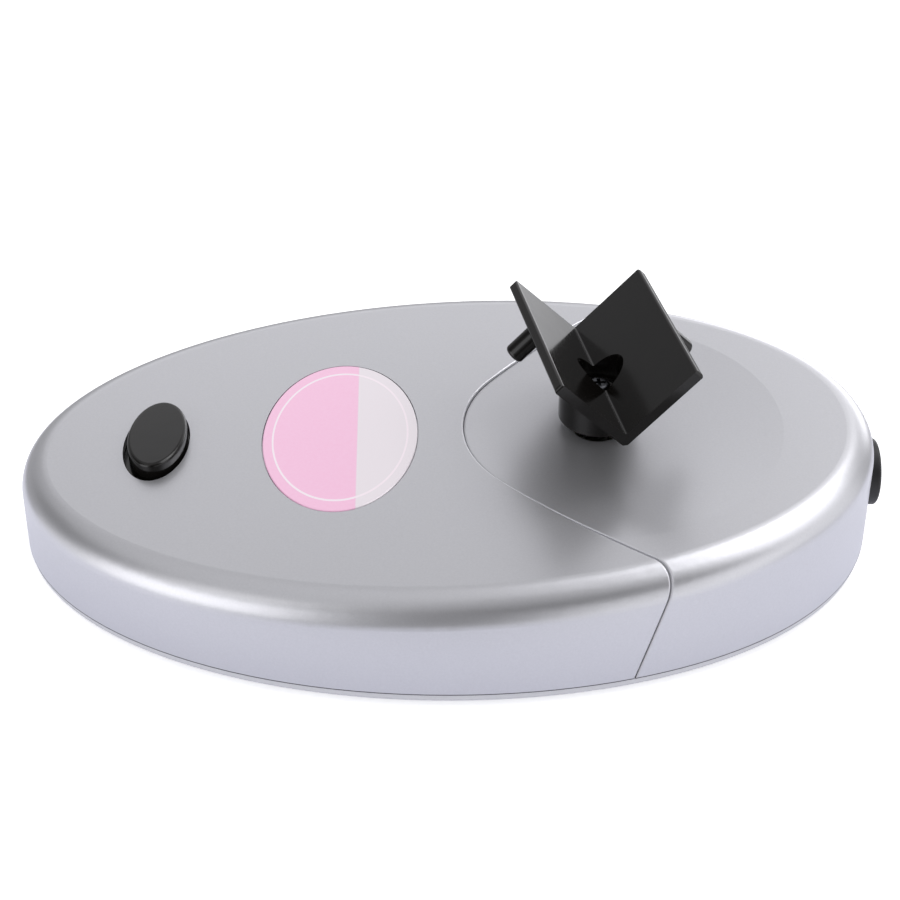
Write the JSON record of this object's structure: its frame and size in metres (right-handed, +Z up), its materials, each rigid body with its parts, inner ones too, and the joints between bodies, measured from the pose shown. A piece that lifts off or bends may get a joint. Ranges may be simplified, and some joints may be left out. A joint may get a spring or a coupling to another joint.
{
  "type": "nail polish shaker machine",
  "caption": "Low egg-shaped desk-top shaker with a V-shaped bottle cradle on an eccentric column, a side-set elliptical push button, an oval badge and a power inlet.",
  "frame": {"origin": "on the table under the middle of the bounding box, at the bottom of the rubber feet", "axes": "+X along the egg-shaped housing towards its wide end with the cradle and the power inlet, +Z up, +Y across the housing by the right-hand rule"},
  "size_m": [0.2121, 0.1317, 0.0575],
  "materials": {
    "silver_cover": "satin metallic-silver painted ABS",
    "silver_base": "satin silver ABS",
    "black_gloss": "polished black ABS",
    "black_matte": "fine moulded black plastic",
    "badge": "glossy printed badge in two plain fields",
    "white_nylon": "natural nylon",
    "rubber": "moulded rubber",
    "belt_rubber": "round polyurethane belt",
    "zinc_screw": "zinc-plated steel",
    "turned_steel": "turned steel",
    "bearing_steel": "ground bearing steel",
    "plated_steel": "plated pressed steel",
    "turned_aluminium": "turned aluminium",
    "bright_metal": "nickel-plated brass",
    "brass_contact": "tinned brass",
    "brass_turned": "turned brass",
    "ferrite": "sintered ferrite",
    "lamination_steel": "stacked electrical steel"
  },
  "bodies": {
    "housing": {"front_cover": "silver_cover", "rear_cover": "silver_cover", "base_plate": "silver_base", "case_screws": "zinc_screw", "rubber_feet": "rubber", "label_badge": "badge", "switch_body": "black_matte", "switch_terminals": "brass_contact", "dc_jack_body": "black_matte", "dc_jack_pin": "bright_metal", "dc_jack_nut": "bright_metal", "dc_jack_terminals": "brass_contact", "spindle_bearing_outers": "bearing_steel", "bearing_sleeve": "turned_aluminium", "bearing_housing": "turned_aluminium", "housing_screws": "zinc_screw", "motor_can": "plated_steel", "motor_end_cap": "black_matte", "motor_terminals": "brass_contact", "motor_magnets": "ferrite", "motor_face_screws": "zinc_screw", "motor_pad": "rubber", "motor_bracket": "plated_steel", "motor_grommets": "rubber", "motor_bracket_screws": "zinc_screw", "drive_belt": "belt_rubber"},
    "crank": {"crank_spindle": "turned_steel", "spindle_clip": "turned_steel", "spindle_bearing_inners": "bearing_steel", "driven_pulley": "white_nylon", "pulley_screws": "zinc_screw", "balance_weight": "plated_steel", "cradle_bearing_inners": "bearing_steel", "cradle_bearing_spacer": "turned_steel", "cradle_washer": "plated_steel", "cradle_screw": "zinc_screw"},
    "bottle_cradle": {"cradle": "black_gloss", "cradle_bearing_outers": "bearing_steel"},
    "motor_rotor": {"motor_armature": "lamination_steel", "motor_shaft": "turned_steel", "motor_pulley": "brass_turned"},
    "push_button": {"power_button": "black_gloss", "switch_plunger": "white_nylon"}
  },
  "joints": [
    {"name": "crank_spin", "type": "hinge", "parent": "housing", "child": "crank", "pos_m": [0.03575, 0, 0.0186], "axis": [0, 0, 1], "continuous": true},
    {"name": "cradle_hinge", "type": "hinge", "parent": "crank", "child": "bottle_cradle", "pos_m": [0.03575, 0.0025, 0.03185], "axis": [0, 0, 1], "continuous": true},
    {"name": "motor_spin", "type": "hinge", "parent": "housing", "child": "motor_rotor", "pos_m": [-0.01625, 0, 0.0174], "axis": [0, 0, 1], "continuous": true},
    {"name": "button_press", "type": "slide", "parent": "housing", "child": "push_button", "axis": [0, 0, -1], "range_m": [0, 0.0022], "stiffness_N_per_m": 400, "springref_m": -0.001}
  ],
  "couplings": [
    {"joint": "cradle_hinge", "follows": "crank_spin", "ratio": -1},
    {"joint": "motor_spin", "follows": "crank_spin", "ratio": 4.2222}
  ]
}
